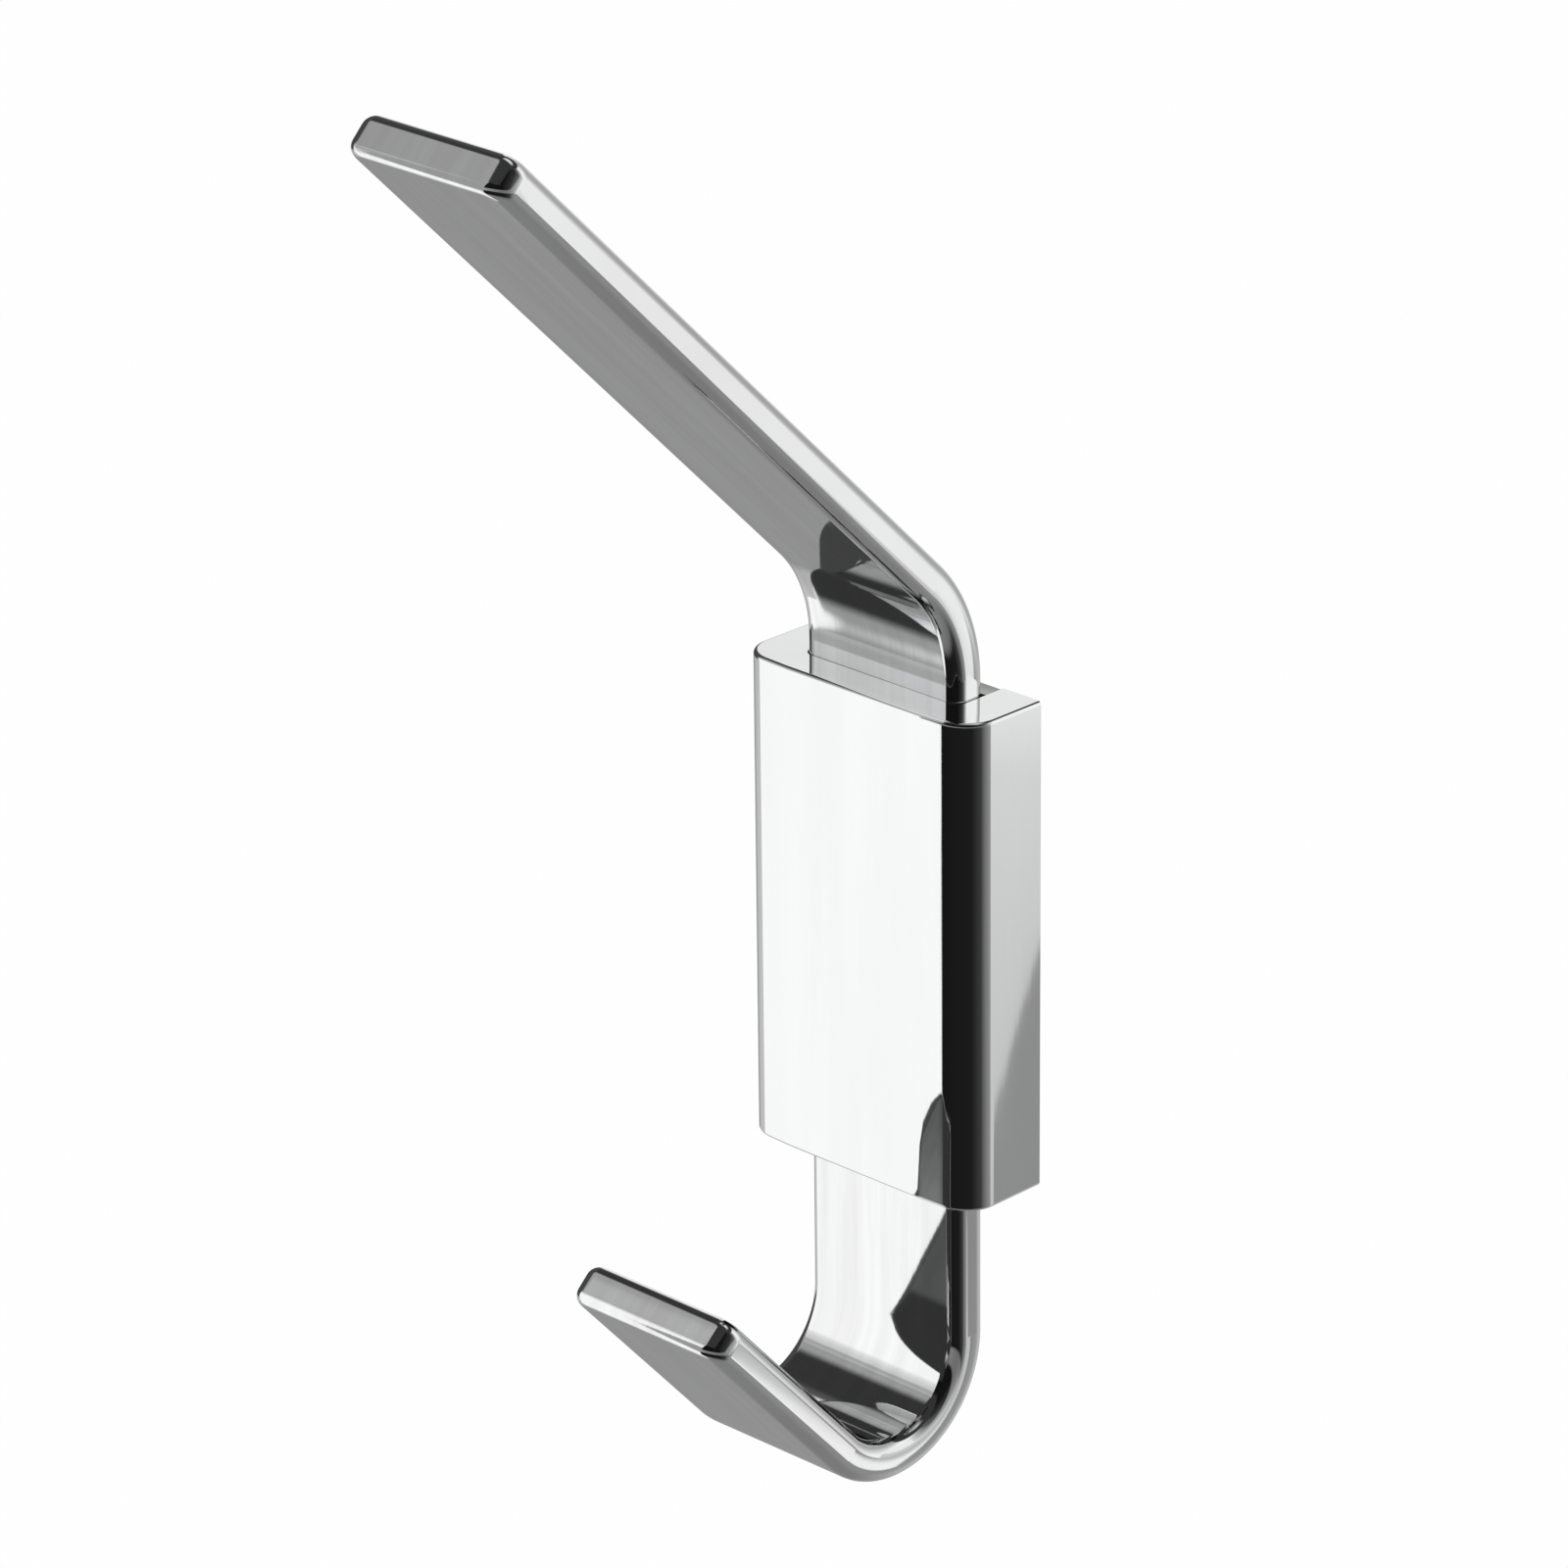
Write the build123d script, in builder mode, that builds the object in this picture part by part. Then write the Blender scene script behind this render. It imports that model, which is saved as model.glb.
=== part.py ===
import os

from build123d import *

# Millimetres. X is right, minus Y is out of the wall, Z is up.
# The origin is the middle of the block's back, on the wall.

# Block
block_width = 30.0
block_height = 50.6
block_depth = 10.25
block_corner_radius = 3.4
block_edge_break = 0.5

# Flat bar
bar_width = 20.0
bar_thickness = 4.2
bar_edge_radius = 1.25
tip_corner_radius = 2.0

# Bends to their inside, heights from the block's middle, angles above level
upper_bend_inside = 14.0
upper_bend_start = 26.75
upper_arm_angle = 44.75
upper_arm_length = 75.9
lower_bend_inside = 7.7
lower_bend_start = 41.6
lower_arm_angle = 47.5
lower_arm_length = 25.5

# Clearance between pieces that are put together
fit_gap = 0.1
thread_gap = 0.05

# Wall plate, hooked under a lip at the top of the block's recess
plate_thickness = 2.0
plate_width = 26.0
plate_head_wall = 3.3
plate_foot_wall = 5.3
plate_lip = 1.0
plate_lift = 1.2
tongue_inset = 0.3
wall_screw_spacing = 28.0
wall_screw_hole_radius = 2.0
wall_screw_head_radius = 3.6
screw_head_angle = 90.0

# Screws that hold the bar in the block
bar_screw_spacing = 14.0
bar_screw_radius = 1.5
bar_screw_head_radius = 2.8
bar_screw_grip = 2.5
bar_screw_socket_radius = 1.1
bar_screw_socket_depth = 1.2
tap_depth = 2.8

# Set screws in the block's underside
grub_radius = 1.5
grub_length = 5.0
grub_end_break = 0.3
grub_from_wall = 1.9
grub_socket_radius = 0.85
grub_socket_depth = 2.0
socket_sides = 6

# Places that follow from the sizes above
half_height = block_height / 2
bar_back = -(plate_thickness + fit_gap)
bar_front = bar_back - bar_thickness
channel_half = bar_width / 2 + fit_gap
plate_top = half_height - plate_head_wall
plate_bottom = plate_foot_wall - half_height
recess_bottom = plate_bottom - plate_lift
recess_top = plate_top + fit_gap
recess_half = plate_width / 2 + fit_gap
grub_x = (channel_half + block_width / 2) / 2
grub_places = [(-grub_x, -grub_from_wall), (grub_x, -grub_from_wall)]
screw_heights = (-bar_screw_spacing / 2, bar_screw_spacing / 2)

os.makedirs("parts", exist_ok=True)

# Bar: the line of its back is offset by the thickness, then given its width
with BuildPart() as hook_bar:
    with BuildSketch(Plane.YZ) as bar_side:
        with BuildLine() as back_line:
            shank = Line((bar_back, -lower_bend_start), (bar_back, upper_bend_start))
            upper_bend = JernArc(
                shank @ 1, (0, 1), upper_bend_inside + bar_thickness, 90 - upper_arm_angle
            )
            Line(upper_bend @ 1, upper_bend @ 1 + (upper_bend % 1) * upper_arm_length)
            lower_bend = JernArc(
                shank @ 0, (0, -1), lower_bend_inside + bar_thickness, -90 - lower_arm_angle
            )
            Line(lower_bend @ 1, lower_bend @ 1 + (lower_bend % 1) * lower_arm_length)
            offset(amount=bar_thickness, side=Side.LEFT)
        make_face()
    extrude(amount=bar_width / 2, both=True)
    # the two square ends are the smallest flat faces
    ends = hook_bar.faces().filter_by(GeomType.PLANE).sort_by(SortBy.AREA)[:2]
    fillet([e for end in ends for e in end.edges().sort_by(SortBy.LENGTH)[:2]], tip_corner_radius)
    # each rounding starts on an end and runs on round the whole bar
    ends = hook_bar.faces().filter_by(GeomType.PLANE).sort_by(SortBy.AREA)[:2]
    fillet([e for end in ends for e in end.edges().filter_by(Axis.X)], bar_edge_radius)
    with Locations(Plane(origin=(0, bar_back, 0), x_dir=(1, 0, 0), z_dir=(0, 1, 0))):
        with Locations(*[(0, height) for height in screw_heights]):
            CounterSinkHole(
                radius=bar_screw_radius + fit_gap,
                counter_sink_radius=bar_screw_head_radius + fit_gap,
                depth=bar_thickness,
                counter_sink_angle=screw_head_angle,
            )

# Block: a casting with an open channel for the bar and a recess for the plate
with BuildPart() as wall_block:
    with BuildSketch(Plane.XY.offset(-half_height)) as block_plan:
        with Locations((0, -block_depth / 2)):
            Rectangle(block_width, block_depth)
        fillet(block_plan.vertices().group_by(Axis.Y)[0], block_corner_radius)
    extrude(amount=block_height)
    rims = wall_block.edges().group_by(Axis.Z)[0] + wall_block.edges().group_by(Axis.Z)[-1]
    fillet(rims.filter_by_position(Axis.Y, -block_depth, 0, (True, False)), block_edge_break)
    with BuildSketch(Plane.XY.offset(-half_height)) as channel:
        with Locations((0, bar_front / 2)):
            Rectangle(2 * channel_half, -bar_front)
        fillet(channel.vertices().group_by(Axis.Y)[0], bar_edge_radius)
    extrude(amount=block_height, mode=Mode.SUBTRACT)
    with BuildSketch(Plane.YZ) as recess_side:
        with BuildLine():
            Polyline(
                (0, recess_bottom),
                (bar_back, recess_bottom),
                (bar_back, recess_top),
                (-plate_lip, recess_top),
                (0, recess_top - plate_lip),
                close=True,
            )
        make_face()
    extrude(amount=recess_half, both=True, mode=Mode.SUBTRACT)
    with BuildSketch(Plane.XZ.offset(-bar_front)):
        with Locations(*[(0, height) for height in screw_heights]):
            Circle(bar_screw_radius + thread_gap)
    extrude(amount=tap_depth, mode=Mode.SUBTRACT)
    with BuildSketch(Plane.XY.offset(-half_height)):
        with Locations(*grub_places):
            Circle(grub_radius + thread_gap)
    extrude(amount=plate_foot_wall, mode=Mode.SUBTRACT)

# Wall plate: a body under the lip and a tongue that fills the channel behind the bar
with BuildPart() as wall_plate:
    with BuildSketch(Plane.XZ):
        with Locations((0, (plate_top + plate_bottom) / 2)):
            Rectangle(plate_width, plate_top - plate_bottom)
        Rectangle(bar_width, block_height - 2 * tongue_inset)
    extrude(amount=plate_thickness)
    shoulders = wall_plate.edges().filter_by(Axis.X).filter_by_position(Axis.Z, plate_top, plate_top)
    chamfer(shoulders.group_by(Axis.Y)[-1], plate_lip)
    with Locations(Plane.XZ.offset(plate_thickness)):
        with GridLocations(0, wall_screw_spacing, 1, 2):
            CounterSinkHole(
                radius=wall_screw_hole_radius,
                counter_sink_radius=wall_screw_head_radius,
                depth=plate_thickness,
                counter_sink_angle=screw_head_angle,
            )

# Countersunk socket screws, heads flush with the bar's back
with BuildPart() as bar_screws:
    for height in screw_heights:
        with BuildSketch(Plane.XY.offset(height)):
            with BuildLine():
                Polyline(
                    (0, bar_back),
                    (bar_screw_head_radius, bar_back),
                    (bar_screw_radius, bar_back + bar_screw_radius - bar_screw_head_radius),
                    (bar_screw_radius, bar_front - bar_screw_grip),
                    (0, bar_front - bar_screw_grip),
                    close=True,
                )
            make_face()
        revolve(axis=Axis((0, 0, height), (0, 1, 0)))
    with BuildSketch(Plane.XZ.offset(-bar_back)):
        with Locations(*[(0, height) for height in screw_heights]):
            RegularPolygon(bar_screw_socket_radius, socket_sides)
    extrude(amount=bar_screw_socket_depth, mode=Mode.SUBTRACT)

# Set screws, their ends against the plate's lower edge
with BuildPart() as grub_screws:
    with BuildSketch(Plane.XY.offset(plate_bottom - grub_length)):
        with Locations(*grub_places):
            Circle(grub_radius)
    extrude(amount=grub_length)
    chamfer(grub_screws.edges().filter_by(GeomType.CIRCLE), grub_end_break)
    with BuildSketch(Plane.XY.offset(plate_bottom - grub_length)):
        with Locations(*grub_places):
            RegularPolygon(grub_socket_radius, socket_sides)
    extrude(amount=grub_socket_depth, mode=Mode.SUBTRACT)

hook_bar.part.label = "hook_bar"
wall_block.part.label = "wall_block"
wall_plate.part.label = "wall_plate"
bar_screws.part.label = "bar_screws"
grub_screws.part.label = "grub_screws"
export_step(hook_bar.part, "parts/hook_bar.step")
export_step(wall_block.part, "parts/wall_block.step")
export_step(wall_plate.part, "parts/wall_plate.step")
export_step(bar_screws.part, "parts/bar_screws.step")
export_step(grub_screws.part, "parts/grub_screws.step")
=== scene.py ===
import math

import bmesh
import bpy
from mathutils import Matrix, Vector


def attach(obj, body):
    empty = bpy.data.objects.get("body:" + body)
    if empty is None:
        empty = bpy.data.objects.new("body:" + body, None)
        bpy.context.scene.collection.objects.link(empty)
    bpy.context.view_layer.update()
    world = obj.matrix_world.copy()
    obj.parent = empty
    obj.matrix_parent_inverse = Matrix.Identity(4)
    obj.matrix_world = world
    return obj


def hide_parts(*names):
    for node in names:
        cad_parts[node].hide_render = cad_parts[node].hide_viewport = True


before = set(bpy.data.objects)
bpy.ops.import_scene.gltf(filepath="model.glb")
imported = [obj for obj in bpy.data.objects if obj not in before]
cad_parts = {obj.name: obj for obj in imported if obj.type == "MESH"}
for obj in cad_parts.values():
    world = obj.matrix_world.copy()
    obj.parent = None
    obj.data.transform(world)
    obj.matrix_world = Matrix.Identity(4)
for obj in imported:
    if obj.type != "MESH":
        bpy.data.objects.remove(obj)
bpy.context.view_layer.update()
scene = bpy.context.scene
scene.view_settings.view_transform = "Standard"
mm = 0.001
near = 0.02 * mm  # how close counts as the same place


def letGo():
    if bpy.context.object and bpy.context.object.mode != "OBJECT":
        bpy.ops.object.mode_set(mode="OBJECT")
    bpy.ops.object.select_all(action="DESELECT")


def pick(kind, test):
    # selects the verts, edges or faces of the mesh in edit mode that pass the test
    bpy.ops.mesh.select_all(action="DESELECT")
    bpy.ops.mesh.select_mode(type=kind)
    mesh = bmesh.from_edit_mesh(bpy.context.object.data)
    mesh.normal_update()
    parts = {"VERT": mesh.verts, "EDGE": mesh.edges, "FACE": mesh.faces}[kind]
    for part in parts:
        if test(part):
            part.select_set(True)
    mesh.select_flush_mode()
    bmesh.update_edit_mesh(bpy.context.object.data)


def middle(edge):
    return (edge.verts[0].co + edge.verts[1].co) / 2


def cleanUp():
    bpy.ops.mesh.select_all(action="SELECT")
    bpy.ops.mesh.remove_doubles(threshold=near)
    bpy.ops.mesh.normals_make_consistent(inside=False)


def applyAll(piece):
    bpy.context.view_layer.objects.active = piece
    for modifier in list(piece.modifiers):
        bpy.ops.object.modifier_apply(modifier=modifier.name)


def smoothOff(piece, angle):
    # flats stay flat and only the roundings shade as curves
    letGo()
    piece.select_set(True)
    bpy.context.view_layer.objects.active = piece
    bpy.ops.object.shade_smooth_by_angle(angle=math.radians(angle))
    even = piece.modifiers.new("evenNormals", "WEIGHTED_NORMAL")
    even.keep_sharp = True
    even.weight = 100
    applyAll(piece)


def settle(piece, name, slotName, *nodes):
    letGo()
    piece.name = piece.data.name = name
    piece.select_set(True)
    bpy.context.view_layer.objects.active = piece
    bpy.ops.object.transform_apply(location=True, rotation=True, scale=True)
    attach(piece, "root")
    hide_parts(*nodes)


# camera, at the angle the photograph was taken from
cameraSet = {
    "turn": 44.262,
    "lift": 22.911,
    "roll": -0.605,
    "distance": 751.268 * mm,
    "aside": -13.509 * mm,
    "up": 11.633 * mm,
    "lens": 178.8,
    "sensor": 36,
    "clip": (0.01, 20),
}


def makeCamera(s):
    turn, lift, roll = (math.radians(s[k]) for k in ("turn", "lift", "roll"))
    back = Vector((math.sin(turn) * math.cos(lift), -math.cos(turn) * math.cos(lift), math.sin(lift)))
    right = Vector((math.cos(turn), math.sin(turn), 0))
    up = back.cross(right)
    place = back * s["distance"] + right * s["aside"] + up * s["up"]
    tiltRight = right * math.cos(roll) + up * math.sin(roll)
    tiltUp = up * math.cos(roll) - right * math.sin(roll)
    letGo()
    bpy.ops.object.camera_add(location=place)
    camera = bpy.context.object
    camera.name = "photoCamera"
    axes = Matrix((tiltRight, tiltUp, back)).transposed()
    camera.rotation_euler = axes.to_euler()
    camera.data.sensor_width = s["sensor"]
    camera.data.lens = s["lens"]
    camera.data.clip_start, camera.data.clip_end = s["clip"]
    scene.camera = camera
    print("camera set")


makeCamera(cameraSet)


# flat bar, bent once at the top and round into the lower hook
barSet = {
    "width": 20 * mm,
    "thick": 4.2 * mm,
    "back": -2.1 * mm,
    "edge": 1.5 * mm,  # rounding along the long edges
    "tipEdge": 0.85 * mm,  # finer across the tips
    "tipCorner": 2.0 * mm,
    "upperStart": 26.75 * mm,
    "upperBend": 14 * mm,  # inside radius
    "upperAngle": 44.75,
    "upperArm": 75.65 * mm,
    "lowerStart": 41.6 * mm,
    "lowerBend": 7.7 * mm,
    "lowerAngle": 47.5,
    "lowerArm": 25.3 * mm,
    "runStep": 4 * mm,
    "bendSteps": 90,  # in a quarter turn
    "edgeSteps": 8,
    "cornerSteps": 12,
    "smooth": 40,
}


def bendOn(angle, inside, heading, place, turnWay):
    # spins the picked end about the bend's hub and gives the arm's heading
    hub = place + Vector((0, -heading.z, heading.y)) * turnWay * inside
    steps = round(angle * barSet["bendSteps"] / 90)
    bpy.ops.mesh.spin(steps=steps, angle=-turnWay * math.radians(angle), center=hub, axis=(1, 0, 0))
    return Matrix.Rotation(turnWay * math.radians(angle), 3, "X") @ heading


def runOn(way, length):
    # carries the picked end straight on, in short lengths so that the long faces shade evenly
    steps = math.ceil(length / barSet["runStep"])
    for step in range(steps):
        bpy.ops.mesh.extrude_region_move(TRANSFORM_OT_translate={"value": way * length / steps})


def makeBar(s):
    letGo()
    front = s["back"] - s["thick"]
    half, corner = s["width"] / 2, s["tipCorner"]
    up, down = Vector((0, 0, 1)), Vector((0, 0, -1))
    bpy.ops.mesh.primitive_plane_add(size=1, location=(0, s["back"] - s["thick"] / 2, -s["lowerStart"]))
    bar = bpy.context.object
    bpy.ops.object.mode_set(mode="EDIT")
    bpy.ops.transform.resize(value=(s["width"], s["thick"], 1))
    bpy.ops.object.mode_set(mode="OBJECT")
    bpy.ops.object.transform_apply(location=True, rotation=True, scale=True)
    bpy.ops.object.mode_set(mode="EDIT")
    bpy.ops.mesh.select_all(action="SELECT")
    # shank, then the upper bend and its arm
    runOn(up, s["lowerStart"] + s["upperStart"])
    place = Vector((0, front, s["upperStart"]))
    way = bendOn(90 - s["upperAngle"], s["upperBend"], up, place, 1)
    runOn(way, s["upperArm"])
    cleanUp()
    # lower bend and its arm from the shank's other end
    pick("FACE", lambda f: abs(f.calc_center_median().z + s["lowerStart"]) < near and f.normal.z < -0.9)
    place = Vector((0, front, -s["lowerStart"]))
    way = bendOn(90 + s["lowerAngle"], s["lowerBend"], down, place, -1)
    runOn(way, s["lowerArm"])
    cleanUp()
    # corners of the tips
    pick("EDGE", lambda e: abs(e.verts[0].co.x - e.verts[1].co.x) < near
         and abs(e.calc_length() - s["thick"]) < near and e.calc_face_angle(0) > 1)
    bpy.ops.mesh.bevel(offset=corner, segments=s["cornerSteps"], profile=0.5, affect="EDGES")
    # rounding of the edges, eased from the long edges to the tips through the corners
    mesh = bmesh.from_edit_mesh(bar.data)
    weight = mesh.edges.layers.float.new("bevel_weight_edge")
    tip = s["tipEdge"] / s["edge"]
    for e in mesh.edges:
        if e.calc_face_angle(0) > 1:
            alongTip = abs(e.verts[0].co.x - e.verts[1].co.x) > near
            ease = (abs(middle(e).x) - half + corner) / corner
            e[weight] = tip + (1 - tip) * min(1, max(0, ease)) if alongTip else 1
    bmesh.update_edit_mesh(bar.data)
    bpy.ops.object.mode_set(mode="OBJECT")
    rounding = bar.modifiers.new("rounding", "BEVEL")
    rounding.limit_method = "WEIGHT"
    rounding.width = s["edge"]
    rounding.segments = s["edgeSteps"]
    rounding.use_clamp_overlap = False
    applyAll(bar)
    settle(bar, "hookBar", "bar_chrome", "hook_bar")
    smoothOff(bar, s["smooth"])
    print("bar", len(bar.data.polygons), "faces")
    return bar


hookBar = makeBar(barSet)


# block on the wall, with the bar's channel and the plate's recess in its back
blockSet = {
    "width": 30 * mm,
    "height": 50.6 * mm,
    "depth": 10.25 * mm,
    "corner": 3.4 * mm,
    "cornerSteps": 24,
    # the front rolls off to its sides: where each step starts, its degrees and how far it blends
    "ease": ((8.6 * mm, 2.6, 0.15 * mm), (10.1 * mm, 0.4, 0.9 * mm)),
    "topFall": 0.5,  # degrees that the top drops to the wall
    "edge": 0.4 * mm,
    "edgeSteps": 5,
    "groove": 0.12 * mm,  # softened rim round the bar
    "channelHalf": 10.1 * mm,
    "channelFront": -6.3 * mm,
    "channelCorner": 1.25 * mm,
    "channelSteps": 8,
    "recessHalf": 13.1 * mm,
    "recessFront": -2.1 * mm,
    "recessTop": 22.1 * mm,
    "recessBottom": -21.2 * mm,
    "lip": 1.0 * mm,
    "screwHole": 1.55 * mm,
    "screwAside": 12.55 * mm,
    "screwFromWall": 1.9 * mm,
    "screwDepth": 5.3 * mm,
    "screwSides": 48,
    "past": 1 * mm,  # how far a cutter stands out of the block
    "smooth": 30,
}


def cutAway(piece, cutter):
    cut = piece.modifiers.new("cut", "BOOLEAN")
    cut.operation = "DIFFERENCE"
    cut.solver = "EXACT"
    cut.object = cutter
    letGo()
    applyAll(piece)
    bpy.data.objects.remove(cutter, do_unlink=True)


def cutAcross(places, way):
    # cuts the whole plan at places along one way
    for place in places:
        bpy.ops.mesh.select_all(action="SELECT")
        bpy.ops.mesh.bisect(plane_co=Vector(way) * place, plane_no=way)


def makeBlock(s):
    letGo()
    low, half, past = -s["height"] / 2, s["channelHalf"], s["past"]
    bpy.ops.mesh.primitive_plane_add(size=1, location=(0, -s["depth"] / 2, low))
    block = bpy.context.object
    bpy.ops.object.mode_set(mode="EDIT")
    bpy.ops.transform.resize(value=(s["width"], s["depth"], 1))
    bpy.ops.object.mode_set(mode="OBJECT")
    bpy.ops.object.transform_apply(location=True, rotation=True, scale=True)
    bpy.ops.object.mode_set(mode="EDIT")
    # plan of the block with the channel taken out of its back
    side = s["width"] / 2
    starts = [start for start, turn, blend in s["ease"]]
    cutAcross([-half, half], (1, 0, 0))
    cutAcross([s["channelFront"]], (0, 1, 0))
    pick("FACE", lambda f: abs(f.calc_center_median().x) < half
         and f.calc_center_median().y > s["channelFront"])
    bpy.ops.mesh.delete(type="FACE")
    # front goes back a touch beyond each step of its ease
    cutAcross([way * start for start in starts for way in (-1, 1)], (1, 0, 0))
    for edge in (*starts[1:], side):
        back = sum(max(0, edge - start) * math.tan(math.radians(turn)) for start, turn, blend in s["ease"])
        pick("VERT", lambda v: v.co.y < near - s["depth"] and abs(abs(v.co.x) - edge) < near)
        bpy.ops.transform.translate(value=(0, back, 0))
    bpy.ops.mesh.select_all(action="SELECT")
    bpy.ops.mesh.dissolve_limited(angle_limit=math.radians(0.3))
    inFront = s["channelFront"] - near
    pick("VERT", lambda v: v.co.y < inFront and abs(v.co.x) > side - near)
    bpy.ops.mesh.bevel(offset=s["corner"], segments=s["cornerSteps"], profile=0.5, affect="VERTICES")
    for start, turn, blend in s["ease"]:
        pick("VERT", lambda v: v.co.y < inFront and abs(abs(v.co.x) - start) < near)
        bpy.ops.mesh.bevel(offset=blend, segments=1, affect="VERTICES")
    pick("VERT", lambda v: abs(v.co.y - s["channelFront"]) < near and abs(v.co.x) < half + near)
    bpy.ops.mesh.bevel(offset=s["channelCorner"], segments=s["channelSteps"], profile=0.5, affect="VERTICES")
    pick("FACE", lambda f: True)
    bpy.ops.mesh.extrude_region_move(TRANSFORM_OT_translate={"value": (0, 0, s["height"])})
    cleanUp()
    pick("VERT", lambda v: v.co.z > -low - near)
    bpy.ops.transform.rotate(value=math.radians(s["topFall"]), orient_axis="X",
                             center_override=(0, -s["depth"], -low))

    def onRim(e, inChannel):
        # top and bottom rims or the finer ones round the channel, not the back
        a = middle(e)
        drop = s["depth"] * math.sin(math.radians(s["topFall"]))
        atEnd = abs(abs(a.z) + low) < drop + near and a.y < -near
        level = abs(e.verts[0].co.z - e.verts[1].co.z) < 2 * drop
        aroundBar = abs(a.x) < half + near and a.y > s["channelFront"] - near
        return e.calc_face_angle(0) > 1 and atEnd and level and aroundBar == inChannel

    for width, inChannel in ((s["edge"], False), (s["groove"], True)):
        pick("EDGE", lambda e: onRim(e, inChannel))
        bpy.ops.mesh.bevel(offset=width, segments=s["edgeSteps"], profile=0.5, affect="EDGES")
        cleanUp()
    bpy.ops.object.mode_set(mode="OBJECT")
    # recess for the plate, its top edge undercut into a lip
    tall, deep = s["recessTop"] - s["recessBottom"], past - s["recessFront"]
    letGo()
    bpy.ops.mesh.primitive_cube_add(size=1, location=(0, past - deep / 2, s["recessTop"] - tall / 2))
    cutter = bpy.context.object
    bpy.ops.object.mode_set(mode="EDIT")
    bpy.ops.transform.resize(value=(2 * s["recessHalf"], deep, tall))
    bpy.ops.object.mode_set(mode="OBJECT")
    bpy.ops.object.transform_apply(location=True, rotation=True, scale=True)
    bpy.ops.object.mode_set(mode="EDIT")
    pick("EDGE", lambda e: middle(e).y > past - near and middle(e).z > s["recessTop"] - near)
    bpy.ops.mesh.bevel(offset=s["lip"] + past, segments=1, affect="EDGES")
    bpy.ops.object.mode_set(mode="OBJECT")
    cutAway(block, cutter)
    # holes for the set screws in the underside
    for way in (-1, 1):
        letGo()
        bpy.ops.mesh.primitive_cylinder_add(
            vertices=s["screwSides"], radius=s["screwHole"], depth=s["screwDepth"] + past,
            location=(way * s["screwAside"], -s["screwFromWall"], low + (s["screwDepth"] - past) / 2),
        )
        cutAway(block, bpy.context.object)
    settle(block, "wallBlock", "block_chrome", "wall_block")
    smoothOff(block, s["smooth"])
    print("block", len(block.data.polygons), "faces")
    return block


wallBlock = makeBlock(blockSet)


def grey(value):
    return (value, value, value, 1)


def stopsOn(node, stops):
    # sets a colour ramp to grey stops, given as place and value
    band = node.color_ramp
    while len(band.elements) < len(stops):
        band.elements.new(0.5)
    for element, (place, value) in zip(band.elements, stops):
        element.position = place
    for element, (place, value) in zip(band.elements, stops):
        element.color = grey(value)


# marks that polishing and handling leave: drawn-out lines, clouded haze and a slow waviness
polishSet = {
    "takes": (("Grain", "Vector"), ("Cloud", "Float"), ("Tone", "Color"), ("Dull", "Color"),
              ("Clear", "Float"), ("Hazy", "Float")),
    "gives": (("Color", "Color"), ("Roughness", "Float"), ("Height", "Float")),
    "lineDetail": 4,
    "lineRoughness": 0.6,
    "lineFrom": (0.36, 0.64),
    "cloudDetail": 3,
    "hazeFrom": (0.35, 0.7),
    "lineHeight": 0.25,  # beside the clouds
}


def makePolish(s):
    group = bpy.data.node_groups.new("polishMarks", "ShaderNodeTree")
    for way, sockets in (("INPUT", s["takes"]), ("OUTPUT", s["gives"])):
        for name, kind in sockets:
            group.interface.new_socket(name, in_out=way, socket_type="NodeSocket" + kind)
    nodes, links = group.nodes, group.links
    given, made = nodes.new("NodeGroupInput"), nodes.new("NodeGroupOutput")
    coord = nodes.new("ShaderNodeTexCoord")
    stretch = nodes.new("ShaderNodeVectorMath")
    stretch.operation = "MULTIPLY"
    links.new(coord.outputs["Object"], stretch.inputs[0])
    links.new(given.outputs["Grain"], stretch.inputs[1])
    lines = nodes.new("ShaderNodeTexNoise")
    lines.inputs["Scale"].default_value = 1
    lines.inputs["Detail"].default_value = s["lineDetail"]
    lines.inputs["Roughness"].default_value = s["lineRoughness"]
    links.new(stretch.outputs[0], lines.inputs["Vector"])
    clouds = nodes.new("ShaderNodeTexNoise")
    clouds.inputs["Detail"].default_value = s["cloudDetail"]
    links.new(coord.outputs["Object"], clouds.inputs["Vector"])
    links.new(given.outputs["Cloud"], clouds.inputs["Scale"])
    # the lines tint the metal, the clouds dull it
    lineMask = nodes.new("ShaderNodeMapRange")
    lineMask.inputs["From Min"].default_value, lineMask.inputs["From Max"].default_value = s["lineFrom"]
    links.new(lines.outputs["Fac"], lineMask.inputs["Value"])
    tint = nodes.new("ShaderNodeMix")
    tint.data_type = "RGBA"
    links.new(lineMask.outputs[0], tint.inputs["Factor"])
    links.new(given.outputs["Dull"], tint.inputs["A"])
    links.new(given.outputs["Tone"], tint.inputs["B"])
    haze = nodes.new("ShaderNodeMapRange")
    haze.inputs["From Min"].default_value, haze.inputs["From Max"].default_value = s["hazeFrom"]
    links.new(clouds.outputs["Fac"], haze.inputs["Value"])
    links.new(given.outputs["Clear"], haze.inputs["To Min"])
    links.new(given.outputs["Hazy"], haze.inputs["To Max"])
    both = nodes.new("ShaderNodeMath")
    both.operation = "MULTIPLY_ADD"
    both.inputs[1].default_value = s["lineHeight"]
    links.new(lines.outputs["Fac"], both.inputs[0])
    links.new(clouds.outputs["Fac"], both.inputs[2])
    links.new(tint.outputs["Result"], made.inputs["Color"])
    links.new(haze.outputs[0], made.inputs["Roughness"])
    links.new(both.outputs[0], made.inputs["Height"])
    return group


polishMarks = makePolish(polishSet)

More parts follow.
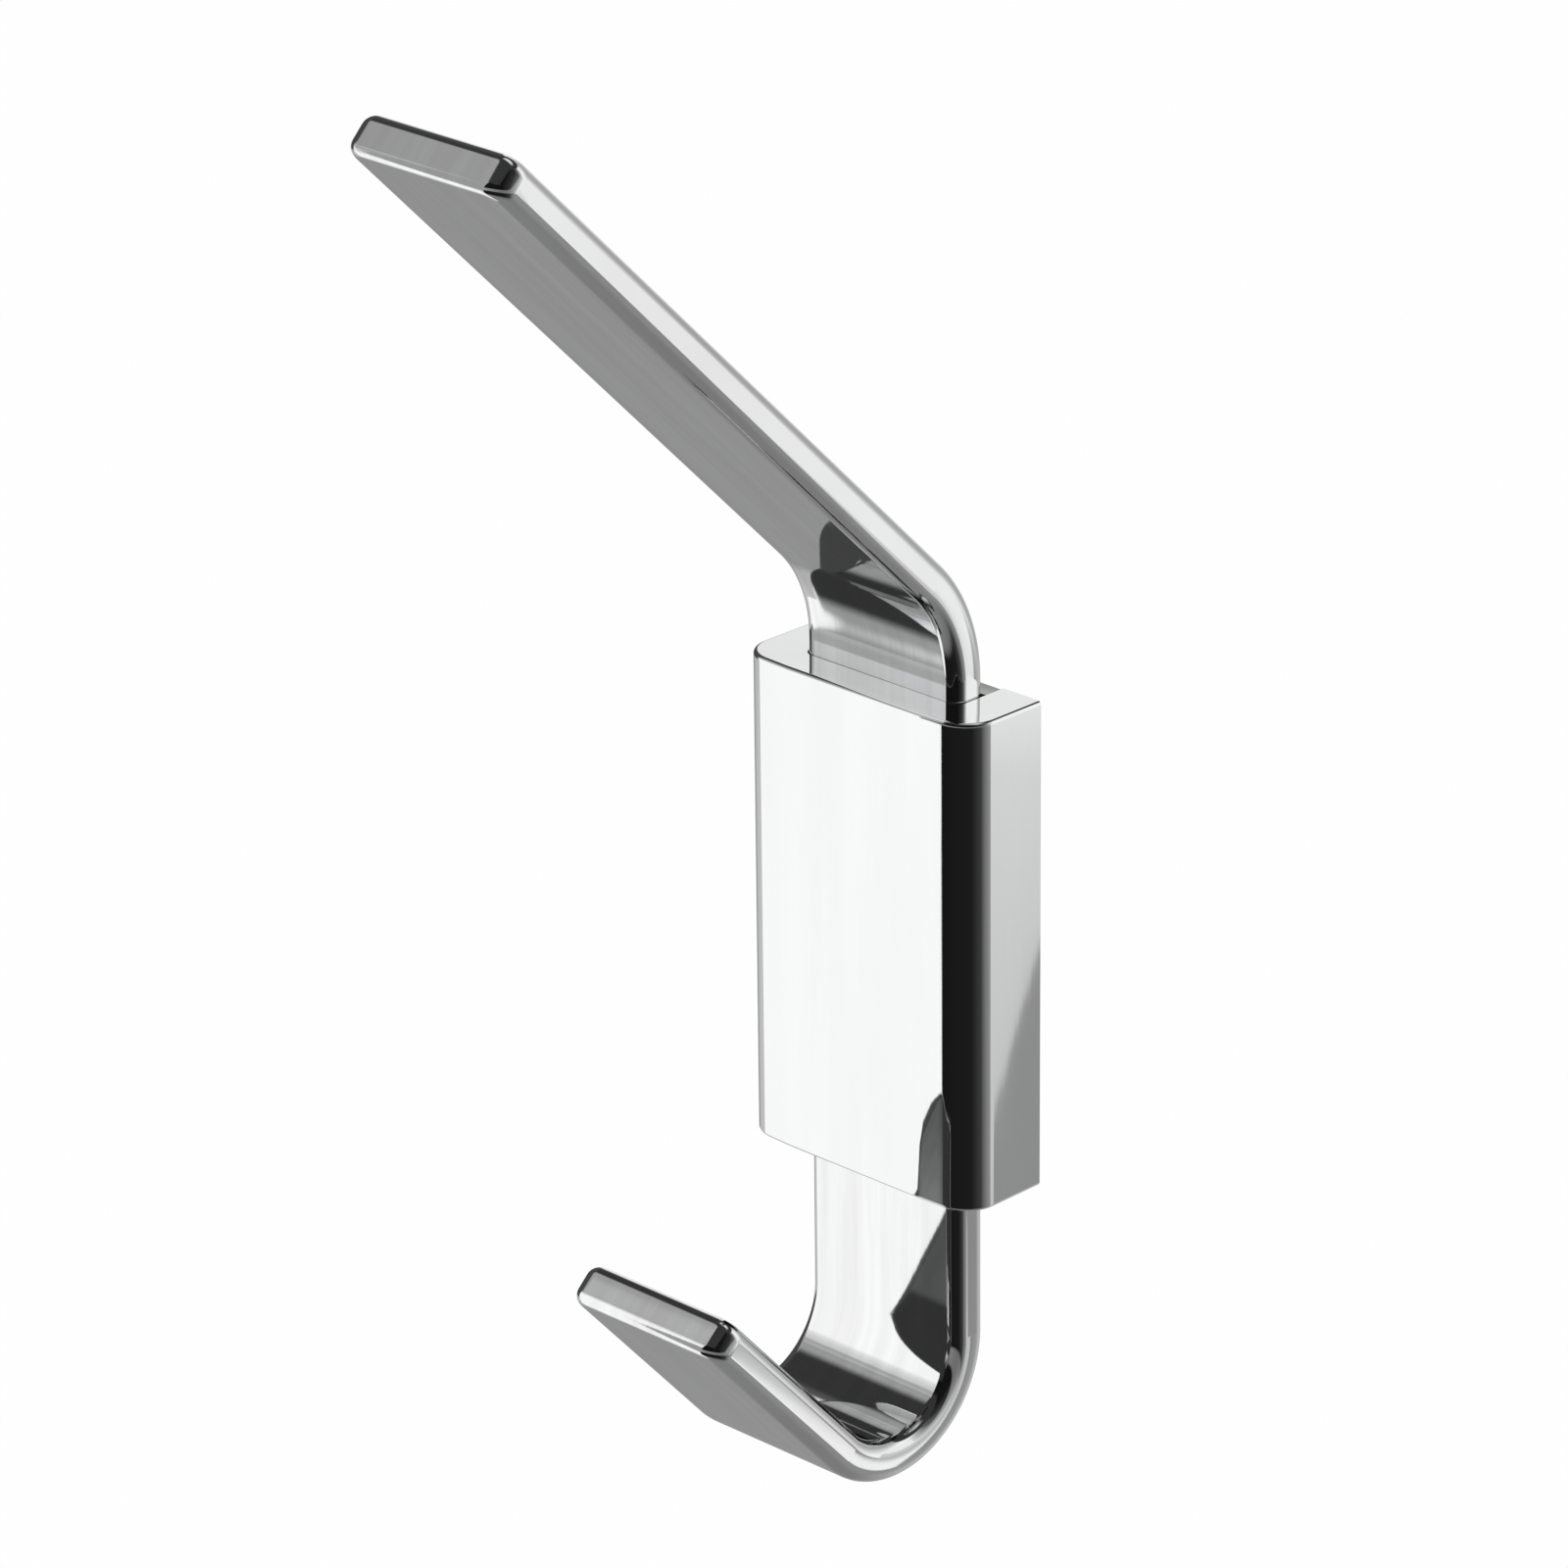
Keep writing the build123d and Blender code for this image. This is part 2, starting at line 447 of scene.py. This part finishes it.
# grain and cloud are how fine the lines and the haze are, clear and hazy the roughness between them
finishSet = {
    "barChrome": {
        "grain": (420, 18, 18), "cloud": 60, "tone": (0.955, 0.96, 0.965), "dull": (0.85, 0.855, 0.85),
        "clear": 0.035, "hazy": 0.065, "wave": 0.02, "waveDepth": 0.5 * mm,
    },
    "blockChrome": {
        "grain": (160, 160, 14), "cloud": 45, "tone": (0.945, 0.95, 0.955), "dull": (0.915, 0.92, 0.92),
        "clear": 0.025, "hazy": 0.045, "wave": 0.015, "waveDepth": 0.5 * mm,
    },
    "plateSteel": {
        "grain": (30, 400, 700), "cloud": 160, "tone": (0.66, 0.66, 0.64), "dull": (0.48, 0.48, 0.46),
        "clear": 0.3, "hazy": 0.46, "wave": 0.15, "waveDepth": 0.1 * mm,
    },
    "screwSteel": {
        "grain": (500, 500, 60), "cloud": 420, "tone": (0.6, 0.6, 0.57), "dull": (0.45, 0.44, 0.41),
        "clear": 0.25, "hazy": 0.4, "wave": 0.15, "waveDepth": 0.1 * mm,
    },
    "setScrewSteel": {
        "grain": (60, 60, 600), "cloud": 500, "tone": (0.16, 0.16, 0.165), "dull": (0.08, 0.08, 0.085),
        "clear": 0.35, "hazy": 0.55, "wave": 0.2, "waveDepth": 0.1 * mm,
    },
}
nodeFinish = {"wall_plate": "plateSteel", "bar_screws": "screwSteel", "grub_screws": "setScrewSteel"}


def makeFinish(name):
    s = finishSet[name]
    material = bpy.data.materials.new(name)
    material.use_nodes = True
    nodes, links = material.node_tree.nodes, material.node_tree.links
    shader = nodes["Principled BSDF"]
    shader.inputs["Metallic"].default_value = 1
    marks = nodes.new("ShaderNodeGroup")
    marks.node_tree = polishMarks
    marks.inputs["Grain"].default_value = s["grain"]
    marks.inputs["Cloud"].default_value = s["cloud"]
    marks.inputs["Tone"].default_value = (*s["tone"], 1)
    marks.inputs["Dull"].default_value = (*s["dull"], 1)
    marks.inputs["Clear"].default_value = s["clear"]
    marks.inputs["Hazy"].default_value = s["hazy"]
    bump = nodes.new("ShaderNodeBump")
    bump.inputs["Strength"].default_value = s["wave"]
    bump.inputs["Distance"].default_value = s["waveDepth"]
    links.new(marks.outputs["Color"], shader.inputs["Base Color"])
    links.new(marks.outputs["Roughness"], shader.inputs["Roughness"])
    links.new(marks.outputs["Height"], bump.inputs["Height"])
    links.new(bump.outputs["Normal"], shader.inputs["Normal"])
    return material


def dress(piece, name):
    piece.data.materials.clear()
    piece.data.materials.append(makeFinish(name))


dress(hookBar, "barChrome")
dress(wallBlock, "blockChrome")
for node, name in nodeFinish.items():
    dress(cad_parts[node], name)
print("finishes", len(finishSet))


# what the mirror metal sees: pale behind and below, dark on the camera's side
# rings of tones by azimuth, minus 180 and 180 straight behind and 0 in front
behindLeft = ((-180, 0.4), (-168, 0.45), (-152, 0.8), (-140, 0.85), (-134, 0.8), (-130.6, 0.09),
              (-118, 0.06), (-79, 0.06), (-72, 0.34), (-39, 0.34))
behindRight = ((118, 0.5), (128, 0.9), (141, 0.98), (152, 0.7), (165, 0.42), (180, 0.4))
belowLeft = ((-180, 0.55), (-140, 0.35), (-123, 0.3), (-112, 0.3), (-100, 0.5), (-60, 0.6))
belowRight = ((117, 0.27), (138, 0.28), (155, 0.45), (180, 0.55))
studioSet = {
    "horizon": (*behindLeft, (-37.5, 0.006), (60, 0.006), (88, 0.03), (105, 0.12), *behindRight),
    "level": (*behindLeft, (-20, 0.28), (10, 0.22), (45, 0.17), (75, 0.17), (90, 0.22), (105, 0.3),
              *behindRight),
    "low": (*belowLeft, (-39, 0.7), (-37.5, 0.008), (60, 0.012), (88, 0.045), (100, 0.15), *belowRight),
    "deep": (*belowLeft, (-39, 0.5), (-20, 0.16), (60, 0.12), (88, 0.13), (100, 0.18), *belowRight),
    "floor": 0.22,
    "ceiling": 0.035,
    "lowFrom": (-23, -17),  # degrees of elevation that each fades over
    "deepFrom": (-54, -42),
    "levelFrom": (-18.5, -13),
    "levelTo": (9, 4),
    "floorFrom": (-80, -42),
    "ceilingFrom": (42, 48),
    "ceilingTilt": 0.08,  # lower at the back
    "overhead": 0.75,  # light over the back
    "overheadFrom": (58, 74),
    "overheadBack": (-4, 12),
    "plain": 0.8,  # what lights anything that isn't a mirror
}


def makeStudio(s):
    world = bpy.data.worlds.new("studio")
    scene.world = world
    world.use_nodes = True
    nodes, links = world.node_tree.nodes, world.node_tree.links
    background = nodes["Background"]
    coord = nodes.new("ShaderNodeTexCoord")
    axes = nodes.new("ShaderNodeSeparateXYZ")
    links.new(coord.outputs["Generated"], axes.inputs[0])

    def sums(operation, *values):
        node = nodes.new("ShaderNodeMath")
        node.operation = operation
        for socket, value in zip(node.inputs, values):
            if isinstance(value, (int, float)):
                socket.default_value = value
            else:
                links.new(value, socket)
        return node.outputs[0]

    def fade(value, low, high):
        node = nodes.new("ShaderNodeMapRange")
        node.interpolation_type = "SMOOTHSTEP"
        node.inputs["From Min"].default_value = math.sin(math.radians(low))
        node.inputs["From Max"].default_value = math.sin(math.radians(high))
        links.new(value, node.inputs["Value"])
        return node.outputs[0]

    def blend(factor, a, b):
        node = nodes.new("ShaderNodeMix")
        node.data_type = "RGBA"
        links.new(factor, node.inputs["Factor"])
        for socket, value in zip((node.inputs["A"], node.inputs["B"]), (a, b)):
            if isinstance(value, (int, float)):
                socket.default_value = grey(value)
            else:
                links.new(value, socket)
        return node.outputs["Result"]

    x, y, z = (axes.outputs[k] for k in "XYZ")
    azimuth = sums("ARCTAN2", x, sums("MULTIPLY", y, -1))
    around = sums("MULTIPLY_ADD", azimuth, 0.5 / math.pi, 0.5)
    rings = {}
    for name in ("horizon", "level", "low", "deep"):
        ring = nodes.new("ShaderNodeValToRGB")
        stopsOn(ring, [(degrees / 360 + 0.5, value) for degrees, value in s[name]])
        links.new(around, ring.inputs["Fac"])
        rings[name] = ring.outputs["Color"]
    eyeLevel = sums("MULTIPLY", fade(z, *s["levelFrom"]), fade(z, *s["levelTo"]))
    seen = blend(eyeLevel, rings["horizon"], rings["level"])
    seen = blend(fade(z, *s["lowFrom"]), rings["low"], seen)
    seen = blend(fade(z, *s["deepFrom"]), rings["deep"], seen)
    seen = blend(fade(z, *s["floorFrom"]), s["floor"], seen)
    tilted = sums("MULTIPLY_ADD", y, s["ceilingTilt"], z)
    seen = blend(fade(tilted, *s["ceilingFrom"]), seen, s["ceiling"])
    above = sums("MULTIPLY", fade(z, *s["overheadFrom"]), fade(y, *s["overheadBack"]))
    seen = blend(above, seen, s["overhead"])
    path = nodes.new("ShaderNodeLightPath")
    lit = blend(path.outputs["Is Glossy Ray"], s["plain"], seen)
    shown = sums("MAXIMUM", path.outputs["Is Camera Ray"], path.outputs["Is Transmission Ray"])
    links.new(blend(shown, lit, 1.0), background.inputs["Color"])
    print("studio set")


makeStudio(studioSet)

# upright cards that only the metal shows, corners as across and high in mm, tones as height and value
cardSet = {
    "frontCard": {
        "turn": 0,
        "away": 142 * mm,
        "corners": ((-370, -330), (-84.5, -330), (-370, 150), (-84.5, 150)),
        "tones": ((45, 1.0), (60, 0.8), (80, 0.68), (104.5, 0.6), (107.5, 0.4), (128, 0.4), (140, 0.46)),
    },
    "sideCard": {
        "turn": 135.7,
        "away": 200 * mm,
        "corners": ((-62, -124), (-14.2, -124), (-62, 40), (28.9, 40)),
        "tones": ((-124, 0.55), (-85, 0.62), (-62, 0.68), (-45, 0.9)),
    },
    "lowCard": {
        "turn": 135.7,
        "away": 200 * mm,
        "corners": ((-62, -175), (-9, -175), (-62, -126), (-15, -126)),
        "tones": ((-158, 0.95), (-152, 0.85), (-146, 0.62), (-138, 0.5), (-126, 0.42)),
    },
}


def makeCard(name):
    s = cardSet[name]
    turn = math.radians(s["turn"])
    out = Vector((math.sin(turn), -math.cos(turn), 0))
    side = Vector((math.cos(turn), math.sin(turn), 0))
    letGo()
    bpy.ops.mesh.primitive_plane_add(size=1)
    card = bpy.context.object
    card.name = name
    for vert, (across, high) in zip(card.data.vertices, s["corners"]):
        vert.co = out * s["away"] + side * across * mm + Vector((0, 0, high * mm))
    material = bpy.data.materials.new(name)
    material.use_nodes = True
    nodes, links = material.node_tree.nodes, material.node_tree.links
    nodes.remove(nodes["Principled BSDF"])
    coord = nodes.new("ShaderNodeTexCoord")
    axes = nodes.new("ShaderNodeSeparateXYZ")
    links.new(coord.outputs["Object"], axes.inputs[0])
    low, high = s["tones"][0][0], s["tones"][-1][0]
    height = nodes.new("ShaderNodeMapRange")
    height.inputs["From Min"].default_value = low * mm
    height.inputs["From Max"].default_value = high * mm
    links.new(axes.outputs["Z"], height.inputs["Value"])
    tone = nodes.new("ShaderNodeValToRGB")
    stopsOn(tone, [((place - low) / (high - low), value) for place, value in s["tones"]])
    links.new(height.outputs[0], tone.inputs["Fac"])
    glow = nodes.new("ShaderNodeEmission")
    links.new(tone.outputs["Color"], glow.inputs["Color"])
    links.new(glow.outputs[0], nodes["Material Output"].inputs["Surface"])
    card.data.materials.append(material)
    card.visible_camera = card.visible_shadow = card.visible_diffuse = False


for name in cardSet:
    makeCard(name)
print("cards", len(cardSet))

# pale floor far below the hook, white to the camera, and two soft lamps that the metal doesn't show
roomSet = {
    "floorDown": 1.2,
    "floorSize": 40,
    "floorTone": 0.92,
    "floorRough": 0.9,
    "ownLight": 0.97,  # share of the floor's white that is its own, the rest is lit and takes the shadow
    "lamps": (((-1.4, -1.6, 1.8), 1.6, 18), ((1.8, -0.6, 1.2), 1.2, 8)),  # place, size and power
}


def makeRoom(s):
    letGo()
    bpy.ops.mesh.primitive_plane_add(size=s["floorSize"], location=(0, 0, -s["floorDown"]))
    floor = bpy.context.object
    floor.name = "paleFloor"
    material = bpy.data.materials.new("paleFloor")
    material.use_nodes = True
    nodes, links = material.node_tree.nodes, material.node_tree.links
    shader = nodes["Principled BSDF"]
    shader.inputs["Base Color"].default_value = grey(s["floorTone"])
    shader.inputs["Roughness"].default_value = s["floorRough"]
    white = nodes.new("ShaderNodeEmission")
    path = nodes.new("ShaderNodeLightPath")
    shown = nodes.new("ShaderNodeMath")
    shown.operation = "MAXIMUM"
    links.new(path.outputs["Is Camera Ray"], shown.inputs[0])
    links.new(path.outputs["Is Transmission Ray"], shown.inputs[1])
    share = nodes.new("ShaderNodeMath")
    share.operation = "MULTIPLY"
    share.inputs[1].default_value = s["ownLight"]
    links.new(shown.outputs[0], share.inputs[0])
    mix = nodes.new("ShaderNodeMixShader")
    links.new(share.outputs[0], mix.inputs["Fac"])
    links.new(shader.outputs[0], mix.inputs[1])
    links.new(white.outputs[0], mix.inputs[2])
    links.new(mix.outputs[0], nodes["Material Output"].inputs["Surface"])
    floor.data.materials.append(material)
    floor.visible_glossy = False
    for place, size, power in s["lamps"]:
        letGo()
        bpy.ops.object.light_add(type="AREA", location=place)
        lamp = bpy.context.object
        lamp.name = lamp.data.name = "softLamp"
        lamp.data.size = size
        lamp.data.energy = power
        lamp.rotation_euler = (-Vector(place)).to_track_quat("-Z", "Y").to_euler()
        lamp.visible_glossy = lamp.visible_camera = False
    print("room set")


makeRoom(roomSet)
